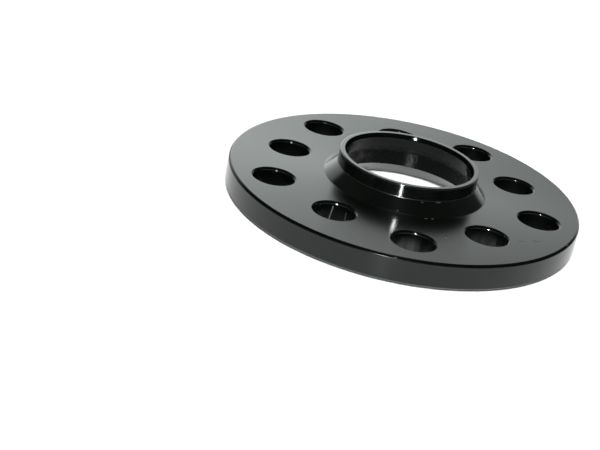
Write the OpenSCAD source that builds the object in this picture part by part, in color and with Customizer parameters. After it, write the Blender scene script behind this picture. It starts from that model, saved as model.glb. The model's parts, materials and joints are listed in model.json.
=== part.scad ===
// Hub-centric wheel spacer, turned and drilled from one aluminium disc.
// It lies on its hub face: z = 0 is that face, +Z is the axis towards the wheel, lengths are in millimetres.
// The back takes the hub's spigot, and the lip on the front repeats that spigot for the wheel.

/* [Disc] */
// Outside diameter of the disc
disc_d = 144; // [138:1:170]
// Thickness between the hub face and the wheel face
disc_t = 10.5; // [8:0.5:25]
// 45 degree chamfer around the wheel face
wheel_chamfer = 0.8; // [0.2:0.1:2]
// 45 degree chamfer around the hub face
hub_chamfer = 0.8; // [0.2:0.1:2]

/* [Centring] */
// Centring diameter that the hub and the wheel share
centre_d = 57.1; // [54:0.1:60]
// How much smaller the spigot is than the wheel's centre bore, on the diameter
spigot_play = 0.1; // [0.04:0.02:0.4]
// Height of the 45 degree cone at the foot of the spigot
cone_h = 4.7; // [3:0.1:5.5]
// How much deeper the countersink on the back is than the cone on the hub that it clears
countersink_clearance = 1; // [0.2:0.1:2]

/* [Lip] */
// Height of the lip above the wheel face
lip_h = 10; // [9:0.5:15]
// Wall of the lip between the spigot and the lip's bore
lip_wall = 2.7; // [2:0.1:4]
// Metal between the cone and the shoulder inside it, along the axis
shoulder_wall = 3.4; // [2.5:0.1:4.5]
// Width of the chamfer inside the rim of the lip
rim_chamfer_w = 0.6; // [0.3:0.1:1.4]
// Depth of the chamfer inside the rim of the lip
rim_chamfer_h = 1.6; // [0.5:0.1:2.5]
// 45 degree edge break around the outside of the rim
rim_edge_break = 0.3; // [0.1:0.1:0.6]

/* [Bolt holes] */
// Diameter of the inner bolt circle
inner_pcd = 100; // [98:0.1:108]
// Diameter of the outer bolt circle
outer_pcd = 112; // [110:0.1:116]
// Bolts on each circle
bolts_per_circle = 5; // [4:1:6]
// Thread diameter of the wheel bolts
bolt_d = 14; // [12:1:16]
// How much wider a hole is than its bolt, on the diameter
bolt_clearance = 2; // [0.5:0.1:2.5]
// 45 degree chamfer at both mouths of a hole
hole_chamfer = 0.8; // [0.3:0.1:1.5]

/* [Hidden] */

// Facets around a full turn, and how far a cutter runs past the face that it leaves
$fn = 180;
overrun = 1;

// Radii, from the outside in
disc_r = disc_d / 2;
hub_bore_r = centre_d / 2;
spigot_r = hub_bore_r - spigot_play / 2;
cone_foot_r = spigot_r + cone_h;
lip_bore_r = spigot_r - lip_wall;
hole_r = (bolt_d + bolt_clearance) / 2;

// The countersink clears the foot of the hub's spigot
countersink_h = cone_h + countersink_clearance;
countersink_r = hub_bore_r + countersink_h;

// Heights above the hub face
spigot_z = disc_t + cone_h;
rim_z = disc_t + lip_h;

// The 45 degree shoulder runs along the cone and leaves an even wall under it
shoulder_z = spigot_z + spigot_r - hub_bore_r - shoulder_wall;
lip_bore_z = shoulder_z + hub_bore_r - lip_bore_r;

// The two bolt circles interleave: a hole of the inner one lies on +Y, and the outer ones lie between its holes
pitch_angle = 360 / bolts_per_circle;
inner_start = 90;
outer_start = inner_start + pitch_angle / 2;

// Half of the spacer's section, turned about the axis
module turned_disc() {
    rotate_extrude()
        polygon([
            // Hub face and outside wall
            [countersink_r, 0],
            [disc_r - hub_chamfer, 0],
            [disc_r, hub_chamfer],
            [disc_r, disc_t - wheel_chamfer],
            [disc_r - wheel_chamfer, disc_t],
            // Wheel face, cone, spigot and rim
            [cone_foot_r, disc_t],
            [spigot_r, spigot_z],
            [spigot_r, rim_z - rim_edge_break],
            [spigot_r - rim_edge_break, rim_z],
            [lip_bore_r + rim_chamfer_w, rim_z],
            // Lip bore, shoulder, hub bore and countersink
            [lip_bore_r, rim_z - rim_chamfer_h],
            [lip_bore_r, lip_bore_z],
            [hub_bore_r, shoulder_z],
            [hub_bore_r, countersink_h]
        ]);
}

// Cutter for the chamfer at one mouth of a hole, widening along +Z, with the mouth at z = 0
module mouth_cutter() {
    translate([0, 0, -hole_chamfer])
        cylinder(h = hole_chamfer + overrun, r1 = hole_r, r2 = hole_r + hole_chamfer + overrun);
}

// Cutter for one through hole with both of its mouths chamfered
module bolt_hole_cutter() {
    translate([0, 0, -overrun])
        cylinder(h = disc_t + 2 * overrun, r = hole_r);
    translate([0, 0, disc_t])
        mouth_cutter();
    mirror([0, 0, 1])
        mouth_cutter();
}

// Cutters for one bolt circle, the first of them at start_angle
module bolt_circle(pcd, start_angle) {
    for (i = [0 : bolts_per_circle - 1])
        rotate([0, 0, start_angle + i * pitch_angle])
            translate([pcd / 2, 0, 0])
                bolt_hole_cutter();
}

// The whole spacer, black anodised
module spacer() {
    color([0.1, 0.1, 0.11])
        difference() {
            turned_disc();
            bolt_circle(inner_pcd, inner_start);
            bolt_circle(outer_pcd, outer_start);
        }
}

spacer();
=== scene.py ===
"""A black anodised wheel spacer: the turned and drilled disc with its finish, on white paper in soft light.

Lengths are in metres in the part's own frame: the hub face lies on z = 0 and the lip points along +Z.
"""

import json
import math

import bmesh
import bpy
from mathutils import Matrix, Quaternion, Vector


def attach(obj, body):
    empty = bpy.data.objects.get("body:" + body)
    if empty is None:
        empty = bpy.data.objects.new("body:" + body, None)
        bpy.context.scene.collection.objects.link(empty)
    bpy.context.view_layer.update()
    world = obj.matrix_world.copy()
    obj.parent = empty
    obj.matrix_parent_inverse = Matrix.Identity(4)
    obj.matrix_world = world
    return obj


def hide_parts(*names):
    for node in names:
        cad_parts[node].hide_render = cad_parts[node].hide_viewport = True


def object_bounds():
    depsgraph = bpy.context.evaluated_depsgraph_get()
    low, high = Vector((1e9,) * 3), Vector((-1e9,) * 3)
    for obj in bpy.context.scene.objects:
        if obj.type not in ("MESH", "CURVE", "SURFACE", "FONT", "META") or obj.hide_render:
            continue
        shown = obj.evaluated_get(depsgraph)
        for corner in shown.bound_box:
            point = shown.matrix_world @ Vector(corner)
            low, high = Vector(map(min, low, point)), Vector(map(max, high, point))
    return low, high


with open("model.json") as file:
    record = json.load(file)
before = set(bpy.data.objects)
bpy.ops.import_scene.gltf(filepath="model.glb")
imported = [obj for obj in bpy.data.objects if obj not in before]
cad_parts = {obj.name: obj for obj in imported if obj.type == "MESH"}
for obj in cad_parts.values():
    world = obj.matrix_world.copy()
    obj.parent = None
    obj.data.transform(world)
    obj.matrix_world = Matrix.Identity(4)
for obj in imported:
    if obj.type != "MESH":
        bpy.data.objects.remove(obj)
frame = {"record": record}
cad_low, cad_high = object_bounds()

MM = 0.001
DEG = math.radians(1)

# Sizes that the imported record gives
mounts = {mount["name"]: mount for mount in frame["record"]["mounts"]}
HUB_BORE_R = mounts["hub_bore"]["dims"]["r_mm"] * MM
SPIGOT_R = mounts["wheel_spigot"]["dims"]["r_mm"] * MM
INNER_CIRCLE = mounts["bolts_100"]["dims"]
OUTER_CIRCLE = mounts["bolts_112"]["dims"]
HOLE_R = INNER_CIRCLE["hole_r_mm"] * MM
FACE_Z = mounts["wheel_face"]["pos_m"][2]
RIM_Z = cad_high[2]

# The rest of the section, as the turner would read it off the drawing
DISC_R = 72 * MM
FACE_CHAMFER = 0.8 * MM
HUB_CHAMFER = 0.8 * MM
CONE_H = 4.7 * MM
COUNTERSINK_H = 5.7 * MM
LIP_BORE_R = 25.8 * MM
SHOULDER_Z = 11.75 * MM
LIP_BORE_Z = SHOULDER_Z + HUB_BORE_R - LIP_BORE_R
RIM_CHAMFER_W = 0.6 * MM
RIM_CHAMFER_H = 1.6 * MM
RIM_EDGE_BREAK = 0.3 * MM
HOLE_CHAMFER = 0.8 * MM

# Edges are not knife sharp: the tool and the anodising round them a little
EDGE_ROUND = 0.2 * MM
MOUTH_ROUND = 0.38 * MM
EDGE_STEPS = 3

# Facets around the disc, and around one hole
TURN_STEPS = 360
DRILL_STEPS = 96

# Points closer together than this are one point: at the seam of a turned shape, and where a cut left them
SEAM_SLACK = 0.001 * MM
CUT_SLACK = 0.002 * MM

# The first hole of the inner circle lies on +Y, and the outer circle's holes lie between
INNER_START = 90 * DEG
OUTER_START = 126 * DEG

# The cuts that leave the facets of the disc and of a hole, in the order of their materials
WALL, EDGE, FACE, LIP, RIM, LIP_BORE, HUB_BORE, SUNK, FOOT = range(9)
DRILLED, EASED, WORN = range(3)

# How far a facet leans tells the cuts apart: towards the axis on the disc, and off upright in a hole
INWARD_LEAN = 0.01
DRILLED_LEAN = 0.1
WORN_FROM = 0.2
WORN_TO = 0.5


def spun(outline, steps, edge_round):
    """A bmesh of an outline of (radius, height) points with eased corners, turned once about +Z."""
    bm = bmesh.new()
    corners = [bm.verts.new((radius, 0, height)) for radius, height in outline]
    bm.faces.new(corners)
    eased = [corner for corner in corners if corner.co.x > 0]
    bmesh.ops.bevel(
        bm,
        geom=eased,
        offset=edge_round,
        offset_type="OFFSET",
        affect="VERTICES",
        segments=EDGE_STEPS,
        profile=0.5,
        material=-1,
        clamp_overlap=True,
    )
    bmesh.ops.delete(bm, geom=bm.faces[:], context="FACES_ONLY")
    on_axis = [edge for edge in bm.edges if all(vert.co.x == 0 for vert in edge.verts)]
    bmesh.ops.delete(bm, geom=on_axis, context="EDGES")
    bmesh.ops.spin(
        bm,
        geom=bm.verts[:] + bm.edges[:],
        cent=(0, 0, 0),
        axis=(0, 0, 1),
        angle=2 * math.pi,
        steps=steps,
        use_merge=True,
    )
    bmesh.ops.remove_doubles(bm, verts=bm.verts[:], dist=SEAM_SLACK)
    bmesh.ops.recalc_face_normals(bm, faces=bm.faces[:])
    return bm


def placed(bm, name, materials):
    """A mesh object at the origin made from a bmesh."""
    mesh = bpy.data.meshes.new(name)
    bm.to_mesh(mesh)
    bm.free()
    mesh.shade_smooth()
    for material in materials:
        mesh.materials.append(material)
    piece = bpy.data.objects.new(name, mesh)
    bpy.context.scene.collection.objects.link(piece)
    return piece


def cut_of(face):
    """Which cut of the lathe left a facet of the disc."""
    middle = face.calc_center_median()
    inwards = face.normal.x * middle.x + face.normal.y * middle.y < -INWARD_LEAN * middle.length
    if inwards and middle.z < COUNTERSINK_H:
        return SUNK
    if inwards and middle.z < LIP_BORE_Z + EDGE_ROUND:
        return HUB_BORE
    if inwards and middle.z < RIM_Z - RIM_CHAMFER_H - EDGE_ROUND:
        return LIP_BORE
    if inwards:
        return RIM
    if abs(middle.z - FACE_Z - CONE_H) < EDGE_ROUND:
        return FOOT
    if middle.z > FACE_Z + EDGE_ROUND:
        return LIP
    if middle.z > FACE_Z - EDGE_ROUND:
        return FACE
    return EDGE if middle.z > FACE_Z - FACE_CHAMFER - EDGE_ROUND else WALL


def turned_disc(materials):
    """The disc with its cone, spigot and bores, as it leaves the lathe."""
    countersink_r = HUB_BORE_R + COUNTERSINK_H
    outline = [
        (countersink_r, 0),
        (DISC_R - HUB_CHAMFER, 0),
        (DISC_R, HUB_CHAMFER),
        (DISC_R, FACE_Z - FACE_CHAMFER),
        (DISC_R - FACE_CHAMFER, FACE_Z),
        (SPIGOT_R + CONE_H, FACE_Z),
        (SPIGOT_R, FACE_Z + CONE_H),
        (SPIGOT_R, RIM_Z - RIM_EDGE_BREAK),
        (SPIGOT_R - RIM_EDGE_BREAK, RIM_Z),
        (LIP_BORE_R + RIM_CHAMFER_W, RIM_Z),
        (LIP_BORE_R, RIM_Z - RIM_CHAMFER_H),
        (LIP_BORE_R, LIP_BORE_Z),
        (HUB_BORE_R, SHOULDER_Z),
        (HUB_BORE_R, COUNTERSINK_H),
    ]
    bm = spun(outline, TURN_STEPS, EDGE_ROUND)
    for face in bm.faces:
        face.material_index = cut_of(face)
    return placed(bm, "wheel_spacer", materials)


def tool_of(face):
    """Which tool left a facet of a bolt hole."""
    lean = abs(face.normal.z)
    if lean < DRILLED_LEAN:
        return DRILLED
    return WORN if WORN_FROM < lean < WORN_TO else EASED


def drill_set(materials):
    """All ten bolt holes as one cutter, each with a chamfer at both mouths that runs out over the face."""
    mouth_r = HOLE_R + HOLE_CHAMFER
    runout_w = 3 * MM
    runout_h = 0.4 * MM
    outline = [
        (0, -runout_h),
        (mouth_r + runout_w, -runout_h),
        (mouth_r, 0),
        (HOLE_R, HOLE_CHAMFER),
        (HOLE_R, FACE_Z - HOLE_CHAMFER),
        (mouth_r, FACE_Z),
        (mouth_r + runout_w, FACE_Z + runout_h),
        (0, FACE_Z + runout_h),
    ]
    one = spun(outline, DRILL_STEPS, MOUTH_ROUND)
    for face in one.faces:
        face.material_index = tool_of(face)
    every = bmesh.new()
    for circle, start in ((INNER_CIRCLE, INNER_START), (OUTER_CIRCLE, OUTER_START)):
        arm = Vector((circle["pcd_mm"] * MM / 2, 0, 0))
        for number in range(circle["count"]):
            turn = Matrix.Rotation(start + number * 2 * math.pi / circle["count"], 3, "Z")
            hole = one.copy()
            bmesh.ops.translate(hole, vec=arm, verts=hole.verts[:])
            bmesh.ops.rotate(hole, cent=(0, 0, 0), matrix=turn, verts=hole.verts[:])
            step = bpy.data.meshes.new("hole")
            hole.to_mesh(step)
            every.from_mesh(step)
            bpy.data.meshes.remove(step)
            hole.free()
    one.free()
    return placed(every, "drills", materials)


def settled(piece):
    """Turns what a piece's modifiers make of it into its own mesh."""
    bpy.context.view_layer.update()
    depsgraph = bpy.context.evaluated_depsgraph_get()
    raw = piece.data
    piece.data = bpy.data.meshes.new_from_object(piece.evaluated_get(depsgraph))
    piece.modifiers.clear()
    bpy.data.meshes.remove(raw)
    piece.data.name = piece.name


def drilled(disc, drills):
    """Cuts the drills out of the disc and leaves one clean mesh with crisp creases."""
    cut = disc.modifiers.new("bolt holes", "BOOLEAN")
    cut.operation = "DIFFERENCE"
    cut.solver = "EXACT"
    cut.object = drills
    cut.material_mode = "TRANSFER"
    settled(disc)
    bpy.data.objects.remove(drills)
    bm = bmesh.new()
    bm.from_mesh(disc.data)
    bmesh.ops.remove_doubles(bm, verts=bm.verts[:], dist=CUT_SLACK)
    bmesh.ops.dissolve_degenerate(bm, edges=bm.edges[:], dist=CUT_SLACK)
    bmesh.ops.recalc_face_normals(bm, faces=bm.faces[:])
    bm.to_mesh(disc.data)
    bm.free()
    shading = disc.modifiers.new("even shading", "WEIGHTED_NORMAL")
    shading.mode = "FACE_AREA"
    settled(disc)
    return disc


class Value:
    """A shader number: sums and products of it add Math nodes to its tree."""

    def __init__(self, make, socket):
        self.make = make
        self.socket = socket

    def maths(self, operation, *numbers):
        """A Math node on some numbers."""
        return self.make.node("ShaderNodeMath", {"operation": operation}, dict(enumerate(numbers)))

    def __add__(self, other):
        return self.maths("ADD", self, other)

    def __sub__(self, other):
        return self.maths("SUBTRACT", self, other)

    def __mul__(self, other):
        return self.maths("MULTIPLY", self, other)

    def __truediv__(self, other):
        return self.maths("DIVIDE", self, other)

    def __pow__(self, other):
        return self.maths("POWER", self, other)

    def __radd__(self, other):
        return self.maths("ADD", other, self)

    def __rsub__(self, other):
        return self.maths("SUBTRACT", other, self)

    def __rmul__(self, other):
        return self.maths("MULTIPLY", other, self)

    def __rtruediv__(self, other):
        return self.maths("DIVIDE", other, self)

    def __getitem__(self, output):
        return Value(self.make, self.socket.node.outputs[output])


class Nodes:
    """Adds nodes to one material's or the world's tree."""

    def __init__(self, owner):
        owner.use_nodes = True
        self.tree = owner.node_tree
        self.tree.nodes.clear()

    def node(self, kind, settings=None, sockets=None):
        """One node: its settings first, then the values or links of its sockets; gives its first output."""
        new = self.tree.nodes.new(kind)
        for name, setting in (settings or {}).items():
            setattr(new, name, setting)
        for name, value in (sockets or {}).items():
            if isinstance(value, Value):
                self.tree.links.new(value.socket, new.inputs[name])
            else:
                new.inputs[name].default_value = value
        return Value(self, new.outputs[0]) if new.outputs else None


def vector_maths(make, operation, first, second):
    """A Vector Math node on two vectors; a number comes from its Value output."""
    return make.node("ShaderNodeVectorMath", {"operation": operation}, {0: first, 1: second})


# The sockets of a Mix node that are for colours: the others have the same names
MIX_SHARE = 0
MIX_FIRST = 6
MIX_SECOND = 7
MIX_RESULT = 2


def blended(share, first, second):
    """A colour between two others."""
    sockets = {MIX_SHARE: share, MIX_FIRST: first, MIX_SECOND: second}
    return share.make.node("ShaderNodeMix", {"data_type": "RGBA"}, sockets)[MIX_RESULT]


def fade(value, start, end, low=0.0, high=1.0):
    """A smooth change: low at start and before it, high at end and after it."""
    return value.make.node(
        "ShaderNodeMapRange",
        {"interpolation_type": "SMOOTHSTEP"},
        {"Value": value, "From Min": start, "From Max": end, "To Min": low, "To Max": high},
    )


def between(value, rise, fall):
    """1 between two places and 0 outside them, where each place is a start and an end of a smooth change."""
    return fade(value, *rise) * fade(value, *fall)


# Black dye, where it took a little less, the clear oxide over it, the pale colour of painted light low in the
# bolt holes, and the dust that settles on it
DYE = (0.0008, 0.0012, 0.0010, 1)
DYE_THIN = (0.0013, 0.0016, 0.0013, 1)
OXIDE_TINT = (0.93, 1.0, 0.97, 1)
OXIDE_IOR = 1.47
PAINTED_HOLE_LIGHT = (0.050, 0.055, 0.054, 1)
OLD_DUST = (0.060, 0.060, 0.051, 1)

# The metal under the skin, whose pale colour also paints glints
PALE_MARK = (0.22, 0.23, 0.225, 1)
BARE_ROUGHNESS = 0.45

# The lay of the cut runs around the axis
LAY = 0.25

# How fine the patterns are, and between which of its values a pattern of patches goes from none to all
PATTERN_DETAIL = 3.0
RING_ROUGHNESS = 0.6
PATCH_START = 0.35
PATCH_END = 0.65

# A mark is whole within its core and gone past its edge, both counted from its line as shares of its width
MARK_CORE = 0.2
MARK_EDGE = 0.5


class Finish:
    """A black anodised surface: dye sealed in a thin clear oxide, with the marks that tools and use leave."""

    def __init__(self, name, roughness, anisotropic=0.0, ior=OXIDE_IOR):
        self.material = bpy.data.materials.new(name)
        self.make = Nodes(self.material)
        self.spot = self.make.node("ShaderNodeTexCoord")["Object"]
        axes = self.make.node("ShaderNodeSeparateXYZ", {}, {0: self.spot})
        self.across, self.ahead, self.height = axes["X"], axes["Y"], axes["Z"]
        self.radius = (self.across * self.across + self.ahead * self.ahead) ** 0.5
        self.roughness = roughness
        self.anisotropic = anisotropic
        self.ior = ior
        self.colour = DYE
        self.relief = []

    def uneven(self, pattern, share):
        """Makes the gloss follow a pattern that lies around one half."""
        self.roughness = self.roughness * (pattern * (2 * share) + (1 - share))

    def clouded(self, size, share):
        """Soft patches where the dye took a little less."""
        sockets = {"Vector": self.spot, "Scale": 1 / size, "Detail": PATTERN_DETAIL}
        patches = self.make.node("ShaderNodeTexNoise", {}, sockets)
        self.uneven(patches, share)
        self.colour = blended(fade(patches, PATCH_START, PATCH_END), self.colour, DYE_THIN)

    def ringed(self, pitch, slope, share, along=None):
        """Uneven tool marks, one after another along the cut, whichever way the cut runs."""
        feed = self.radius - self.height if along is None else along
        marks = self.make.node(
            "ShaderNodeTexNoise",
            {"noise_dimensions": "1D"},
            {"W": feed, "Scale": 1 / pitch, "Detail": PATTERN_DETAIL, "Roughness": RING_ROUGHNESS},
        )
        self.uneven(marks, share)
        self.relief.append(marks * (slope * pitch))

    def grooved(self, pitch, slope):
        """The even grooves of a coarse feed."""
        feed = self.radius - self.height
        wave = feed.maths("SINE", feed * (2 * math.pi / pitch))
        self.relief.append(wave * (slope * pitch / (2 * math.pi)))

    def streaks(self, width, length, detail=PATTERN_DETAIL):
        """A pattern of streaks along the axis."""
        scale = (1 / width, 1 / width, 1 / length)
        stretched = self.make.node("ShaderNodeMapping", {}, {"Vector": self.spot, "Scale": scale})
        sockets = {"Vector": stretched, "Scale": 1.0, "Detail": detail}
        return self.make.node("ShaderNodeTexNoise", {}, sockets)

    def streaked(self, width, length, slope, share):
        """Streaks along the axis, as a tool leaves that chatters."""
        pattern = self.streaks(width, length)
        self.uneven(pattern, share)
        self.relief.append(pattern * (slope * width))

    def dust_and_painted_light(self, cover, film):
        """A pale film as thick as cover says: dust in the hub bore, painted light in the bolt holes."""
        self.colour = blended(cover, self.colour, film)

    def mark(self, start, end, width):
        """A small mark between two places, given in millimetres: 1 on it and 0 around it."""
        first = Vector(start) * MM
        line = Vector(end) * MM - first
        gap = vector_maths(self.make, "SUBTRACT", self.spot, first)
        run = vector_maths(self.make, "DOT_PRODUCT", gap, line / line.length_squared)["Value"]
        run = run.maths("MINIMUM", run.maths("MAXIMUM", run, 0.0), 1.0)
        beside = self.make.node("ShaderNodeVectorMath", {"operation": "SCALE"}, {0: line, "Scale": run})
        reach = vector_maths(self.make, "DISTANCE", gap, beside)["Value"]
        return fade(reach, MARK_EDGE * width * MM, MARK_CORE * width * MM)

    def dulled(self, cover):
        """Gives the gloss of bare metal where cover says."""
        self.roughness = self.roughness * (1 - cover) + cover * BARE_ROUGHNESS

    def pale_marked(self, marks):
        """Small pale marks in the colour of bare metal, each with how much of it is laid on: chips where the
        skin is rubbed or knocked off, and painted glints.
        """
        for start, end, width, gone in marks:
            pale_share = self.mark(start, end, width) * gone
            self.colour = blended(pale_share, self.colour, PALE_MARK)
            self.dulled(pale_share)

    def scratched(self, marks):
        """Fine scratches that dull the skin, each with its share."""
        for start, end, width, share in marks:
            self.dulled(self.mark(start, end, width) * share)

    def done(self):
        """The finished material."""
        skin = {
            "Base Color": self.colour,
            "Roughness": self.roughness,
            "IOR": self.ior,
            "Specular Tint": OXIDE_TINT,
            "Anisotropic": self.anisotropic,
            "Anisotropic Rotation": LAY,
        }
        if self.relief:
            height = sum(self.relief[1:], self.relief[0])
            sockets = {"Strength": 1.0, "Distance": 1.0, "Height": height}
            skin["Normal"] = self.make.node("ShaderNodeBump", {}, sockets)
        surface = self.make.node("ShaderNodeBsdfPrincipled", {}, skin)
        self.make.node("ShaderNodeOutputMaterial", {}, {"Surface": surface})
        return self.material


# The camera is held close to the part, and a little tilted
AIM = Vector((-42.492, -58.382, 10.5)) * MM
DISTANCE = 489.69 * MM
AZIMUTH = -4.073 * DEG
ELEVATION = 24.7005 * DEG
ROLL = 11.108 * DEG
LENS_MM = 80.66
SENSOR_MM = 36
CLIP_NEAR = 10 * MM
CLIP_FAR = 50


def towards(azimuth, elevation):
    """A direction from its azimuth, counted from -Y towards +X, and its elevation."""
    flat = math.cos(elevation)
    return Vector((math.sin(azimuth) * flat, -math.cos(azimuth) * flat, math.sin(elevation)))


def set_camera():
    """The camera, at its distance from what it aims at."""
    lens = bpy.data.cameras.new("camera")
    lens.lens = LENS_MM
    lens.sensor_width = SENSOR_MM
    lens.sensor_fit = "HORIZONTAL"
    lens.clip_start = CLIP_NEAR
    lens.clip_end = CLIP_FAR
    camera = bpy.data.objects.new("camera", lens)
    back = towards(AZIMUTH, ELEVATION)
    camera.location = AIM + back * DISTANCE
    camera.rotation_mode = "QUATERNION"
    camera.rotation_quaternion = (-back).to_track_quat("-Z", "Y") @ Quaternion((0, 0, 1), ROLL)
    bpy.context.scene.collection.objects.link(camera)
    bpy.context.scene.camera = camera
    return camera


def lamp(name, kind, settings, place, target):
    """A light of some kind, turned towards a target."""
    light = bpy.data.lights.new(name, kind)
    for setting, value in settings.items():
        setattr(light, setting, value)
    holder = bpy.data.objects.new(name, light)
    holder.location = place
    holder.rotation_mode = "QUATERNION"
    holder.rotation_quaternion = (target - place).to_track_quat("-Z", "Y")
    bpy.context.scene.collection.objects.link(holder)
    return holder


# The white paper lies a little below the hub face
FLOOR_HALF = 6
FLOOR_DROP = 0.8 * MM
PAPER_WHITE = 0.8

# The soft key light stands well behind the camera, a little to its left
KEY_AZIMUTH = -8 * DEG
KEY_ELEVATION = 45 * DEG
KEY_DISTANCE = 1.5
KEY_PLACE = towards(KEY_AZIMUTH, KEY_ELEVATION) * KEY_DISTANCE

# It makes the paper under the part as bright as this share of white
KEY_SHARE = 0.98
KEY_WATTS = KEY_SHARE * math.pi ** 2 * KEY_PLACE.length ** 3 / (PAPER_WHITE * KEY_PLACE.z)
KEY = {"shape": "DISK", "size": 0.4, "energy": KEY_WATTS}

# The small flash sits next to the lens, and its narrow beam makes the glints around the lip
FLASH = {"spot_size": 13 * DEG, "spot_blend": 0.3, "shadow_soft_size": 0.006, "energy": 32}
FLASH_SHIFT = Vector((-18, 0, 10)) * MM
FLASH_TARGET = Vector((10, -20, 10)) * MM


def set_floor():
    """White paper that glows just enough to stay white where the key light fades, and keeps the shadow."""
    bm = bmesh.new()
    bmesh.ops.create_grid(bm, x_segments=1, y_segments=1, size=FLOOR_HALF)
    bmesh.ops.translate(bm, vec=(0, 0, -FLOOR_DROP), verts=bm.verts[:])
    paper = bpy.data.materials.new("white_paper")
    make = Nodes(paper)
    path = make.node("ShaderNodeLightPath")
    seen = path["Is Camera Ray"] + path["Is Glossy Ray"] + path["Is Transmission Ray"]
    spot = make.node("ShaderNodeTexCoord")["Object"]
    reach = vector_maths(make, "DISTANCE", spot, KEY_PLACE)["Value"]
    beam = vector_maths(make, "DOT_PRODUCT", spot, KEY_PLACE)["Value"]
    facing = beam.maths("MAXIMUM", 1 - beam / KEY_PLACE.length_squared, 0.0)
    lit = reach.maths("MINIMUM", KEY_SHARE * KEY_PLACE.length ** 4 * facing / reach ** 4, 1.0)
    glow = make.node("ShaderNodeEmission", {}, {"Color": seen * (1 - lit), "Strength": 1.0})
    matt = make.node("ShaderNodeBsdfDiffuse", {}, {"Color": (PAPER_WHITE, PAPER_WHITE, PAPER_WHITE, 1)})
    both = make.node("ShaderNodeAddShader", {}, {0: matt, 1: glow})
    make.node("ShaderNodeOutputMaterial", {}, {"Surface": both})
    floor = placed(bm, "floor", [paper])


# The lit sheet behind the part: its ends, counted from +Y towards +X, its top, and how soft their edges are
SHEET_LEFT = -50 * DEG
SHEET_RIGHT = 43 * DEG
SHEET_TOP = 27 * DEG
SHEET_EDGE = 4 * DEG
SHEET_HAZE = 20 * DEG
CRISP_SHARE = 0.65

# It is brightest near its middle, and dims towards both ends
BRIGHT_LEFT = -8 * DEG
BRIGHT_RIGHT = 1 * DEG
DIM_RIGHT = 21 * DEG
SHEET_BRIGHT = 2.5
SHEET_DIM = 0.85
LEFT_SHARE = 0.5

# How bright the room is behind the camera and ahead of it, with its pale side walls, back wall and ceiling
ROOM_TINT = (0.95, 1.0, 0.98, 1)
ROOM_BEHIND = 0.04
ROOM_AHEAD = 0.08
SIDE_LIGHT = 0.2
BEHIND_LIGHT = 0.5
CEILING_LIGHT = 0.7

# Where these start and where they are full: by how far ahead a direction points, or by its elevation
ROOM_CHANGE = (-0.2, 0.2)
SIDE_BACK = (-0.6, -0.4)
SIDE_FRONT = (0.15, -0.1)
SIDE_TOP = (38 * DEG, 30 * DEG)
BEHIND_FRONT = (-0.3, -0.7)
BEHIND_TOP = (30 * DEG, 20 * DEG)
CEILING_RIM = (75 * DEG, 80 * DEG)


def set_world():
    """A lit white sheet low down behind the part, in a dim room with a pale ceiling."""
    world = bpy.data.worlds.new("studio")
    bpy.context.scene.world = world
    make = Nodes(world)

    way = make.node("ShaderNodeTexCoord")["Generated"]
    axes = make.node("ShaderNodeSeparateXYZ", {}, {0: way})
    across, ahead, up = axes["X"], axes["Y"], axes["Z"]
    azimuth = across.maths("ARCTAN2", across, ahead)
    elevation = up.maths("ARCSINE", up)

    left_end = (SHEET_LEFT - SHEET_EDGE, SHEET_LEFT + SHEET_EDGE)
    right_end = (SHEET_RIGHT + SHEET_EDGE, SHEET_RIGHT - SHEET_EDGE)
    crisp = fade(elevation, SHEET_TOP + SHEET_EDGE, SHEET_TOP - SHEET_EDGE)
    hazy = fade(elevation, SHEET_TOP + SHEET_HAZE, SHEET_TOP)
    sheet = between(azimuth, left_end, right_end) * (crisp * CRISP_SHARE + hazy * (1 - CRISP_SHARE))
    shine = fade(azimuth, BRIGHT_RIGHT, DIM_RIGHT, SHEET_BRIGHT, SHEET_DIM)
    shine = shine * fade(azimuth, SHEET_LEFT, BRIGHT_LEFT, LEFT_SHARE, 1.0)

    room = fade(ahead, *ROOM_CHANGE, ROOM_BEHIND, ROOM_AHEAD)
    sides = between(ahead, SIDE_BACK, SIDE_FRONT) * fade(elevation, *SIDE_TOP) * SIDE_LIGHT
    behind = fade(ahead, *BEHIND_FRONT) * fade(elevation, *BEHIND_TOP) * BEHIND_LIGHT
    ceiling = fade(elevation, *CEILING_RIM) * CEILING_LIGHT
    light = sheet * shine + (1 - sheet) * (room + sides + behind) + ceiling
    glow = make.node("ShaderNodeBackground", {}, {"Color": ROOM_TINT, "Strength": light})
    make.node("ShaderNodeOutputWorld", {}, {"Surface": glow})


# Small pale marks: handling marks, painted glints and streaks, each from one place to another in millimetres,
# with the width and how much of the pale bare-metal colour is laid on
# Pale marks on the edge of the wheel face: partly chips, partly painted glint where light catches the edge
EDGE_CHIPS_AND_GLINTS = [
    ((-12.4, -70.9, 9.75), (-11.6, -71.0, 9.65), 0.3, 0.4),
    ((-7.8, -71.3, 10.0), (-7.4, -71.4, 10.0), 0.4, 0.4),
    ((61.6, -36.2, 10.2), (61.9, -36.0, 10.2), 0.5, 0.5),
]
FACE_CHIPS = [
    ((-64.5, 18.6, 10.5), (-64.3, 18.6, 10.5), 0.8, 0.5),
    ((12.7, -48.5, 10.5), (12.9, -48.5, 10.5), 0.8, 0.5),
    ((6.0, -33.7, 10.5), (6.6, -33.6, 10.5), 0.7, 0.3),
    ((8.6, -33.2, 10.5), (9.2, -33.0, 10.5), 0.7, 0.25),
    ((18.4, -28.0, 10.5), (23.4, -26.1, 10.5), 0.5, 0.08),
]
LIP_CHIPS = [
    ((7.3, -32.6, 10.8), (7.5, -32.5, 10.9), 0.7, 0.25),
    ((-5.0, -32.2, 11.1), (-4.8, -32.2, 11.2), 0.7, 0.15),
    ((4.1, -28.6, 14.7), (4.4, -28.6, 14.7), 0.8, 0.1),
    ((9.9, -26.9, 14.9), (11.4, -26.3, 14.9), 0.7, 0.12),
]
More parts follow.
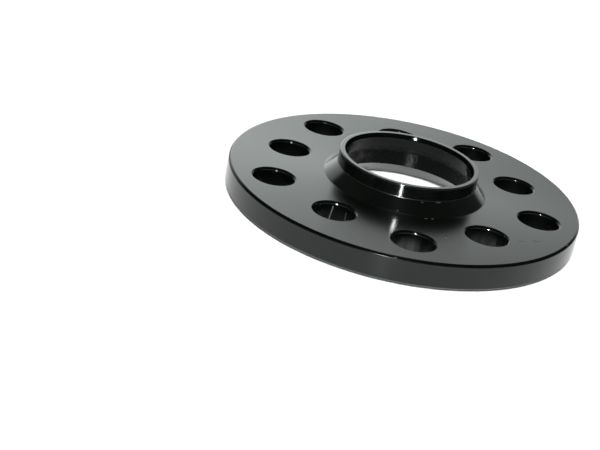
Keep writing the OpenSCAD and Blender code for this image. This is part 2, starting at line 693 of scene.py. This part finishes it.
FACE_SCRATCHES = [
    ((42.0, -40.6, 10.5), (44.5, -39.7, 10.5), 0.8, 0.5),
    ((47.9, -38.5, 10.5), (50.6, -37.5, 10.5), 0.9, 0.8),
    ((50.6, -37.5, 10.5), (52.3, -36.6, 10.5), 0.7, 0.4),
]
# Painted glints: pale bare-metal spots on the back edges of three holes, where light glints on the rims
PAINTED_HOLE_GLINTS = [
    ((-47.0, 23.6, 9.6), (-46.8, 23.6, 9.6), 0.9, 1.0),
    ((-52.4, -9.2, 9.5), (-52.2, -9.2, 9.5), 0.9, 1.0),
    ((-28.2, -32.35, 9.5), (-28.0, -32.35, 9.5), 0.7, 0.8),
]
# Two pale streaks down the back wall of a hole on the left
HOLE_STREAKS = [
    ((-29.5, -32.45, 8.6), (-30.2, -32.5, 3.1), 0.6, 0.4),
    ((-24.26, -34.3, 7.4), (-24.28, -34.3, 4.3), 0.5, 0.2),
]

# The outside wall, the edge of the wheel face, and the wheel face
turned = Finish("turned_black", roughness=0.145, anisotropic=0.94, ior=1.45)
turned.ringed(pitch=1.1 * MM, slope=0.012, share=0.1)
turned.clouded(size=20 * MM, share=0.06)

edge = Finish("edge_black", roughness=0.2, ior=1.18)
edge.clouded(size=1.2 * MM, share=0.4)
# Chips on the edge, partly painted glint
edge.pale_marked(EDGE_CHIPS_AND_GLINTS)

faced = Finish("faced_black", roughness=0.212, anisotropic=0.889)
faced.ringed(pitch=1.3 * MM, slope=0.010, share=0.06)
faced.clouded(size=25 * MM, share=0.05)
faced.pale_marked(FACE_CHIPS)
faced.scratched(FACE_SCRATCHES)

# The cone and the spigot, the corner between them, and the rim
lip = Finish("lip_black", roughness=0.135, anisotropic=0.72)
lip.ringed(pitch=0.9 * MM, slope=0.006, share=0.08)
lip.clouded(size=15 * MM, share=0.05)
lip.pale_marked(LIP_CHIPS)

foot = Finish("foot_black", roughness=0.2)
foot.clouded(size=4 * MM, share=0.1)

rim = Finish("rim_black", roughness=0.09, anisotropic=0.2, ior=1.1)
rim.ringed(pitch=0.6 * MM, slope=0.006, share=0.08)

# The bores and the countersink, with old dust in patches on the left of the hub bore
lip_bore = Finish("lip_bore_black", roughness=0.1, anisotropic=0.3, ior=1.4)
lip_bore.grooved(pitch=0.25 * MM, slope=0.26)
lip_bore.clouded(size=12 * MM, share=0.1)

hub_bore = Finish("hub_bore_black", roughness=0.277, anisotropic=1.0, ior=1.19)
hub_bore.ringed(pitch=0.8 * MM, slope=0.02, share=0.15)
hub_bore.streaked(width=0.9 * MM, length=3 * MM, slope=0.07, share=0.4)
bore_patches = fade(hub_bore.streaks(width=4 * MM, length=4 * MM, detail=4.0), start=0.35, end=0.75)
bore_left = fade(hub_bore.across, start=-10 * MM, end=-24 * MM, high=0.7)
hub_bore.dust_and_painted_light(bore_patches * bore_left, OLD_DUST)

sunk = Finish("sunk_black", roughness=0.15, anisotropic=0.6, ior=1.62)
sunk.ringed(pitch=0.7 * MM, slope=0.01, share=0.1)
sunk.clouded(size=15 * MM, share=0.05)

# The bolt holes, with painted light low down in the front ones, thickest in the middle of two of them: a pale
# film that stands in for light from below
bolt_hole = Finish("drilled_black", roughness=0.2)
bolt_hole.streaked(width=0.7 * MM, length=9 * MM, slope=0.02, share=0.3)
bolt_hole.ringed(pitch=0.5 * MM, slope=0.03, share=0.1, along=bolt_hole.height)
bolt_hole.pale_marked(HOLE_STREAKS)
painted_light_streaks = bolt_hole.streaks(width=2.5 * MM, length=15 * MM)
painted_light_streaks = fade(painted_light_streaks, start=0.3, end=0.7, low=0.35, high=0.7)
painted_light_depth = fade(bolt_hole.height, start=9 * MM, end=4 * MM)
painted_light_front = fade(bolt_hole.ahead, start=-20 * MM, end=-45 * MM)
near_hole_light = between(bolt_hole.across, rise=(-6.5 * MM, -2.5 * MM), fall=(4.4 * MM, 3.2 * MM))
right_hole_light = between(bolt_hole.across, rise=(22 * MM, 26 * MM), fall=(35.4 * MM, 34.4 * MM))
painted_light_holes = fade(near_hole_light + right_hole_light, start=0.0, end=1.0, low=0.15)
bolt_hole.dust_and_painted_light(painted_light_streaks * painted_light_depth * painted_light_front * painted_light_holes, PAINTED_HOLE_LIGHT)

# The eased mouths of the holes, and the corner that bolts wear, both with painted glints on the back edges of
# three holes
eased = Finish("eased_black", roughness=0.12, ior=1.2)
eased.clouded(size=6 * MM, share=0.1)
eased.pale_marked(PAINTED_HOLE_GLINTS)

worn = Finish("worn_edge_black", roughness=0.085, ior=1.6)
worn.clouded(size=3 * MM, share=0.15)
worn.pale_marked(PAINTED_HOLE_GLINTS)

lathe_cuts = [cut.done() for cut in (turned, edge, faced, lip, rim, lip_bore, hub_bore, sunk, foot)]
drill_cuts = [cut.done() for cut in (bolt_hole, eased, worn)]
spacer = drilled(turned_disc(lathe_cuts), drill_set(drill_cuts))
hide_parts("spacer")
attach(spacer, "root")

camera = set_camera()
set_floor()
set_world()
key = lamp("soft_key", "AREA", KEY, KEY_PLACE, Vector())
key.visible_glossy = False
flash = lamp("flash", "SPOT", FLASH, camera.location + FLASH_SHIFT, FLASH_TARGET)
flash.visible_diffuse = False

bpy.context.scene.view_settings.view_transform = "Standard"
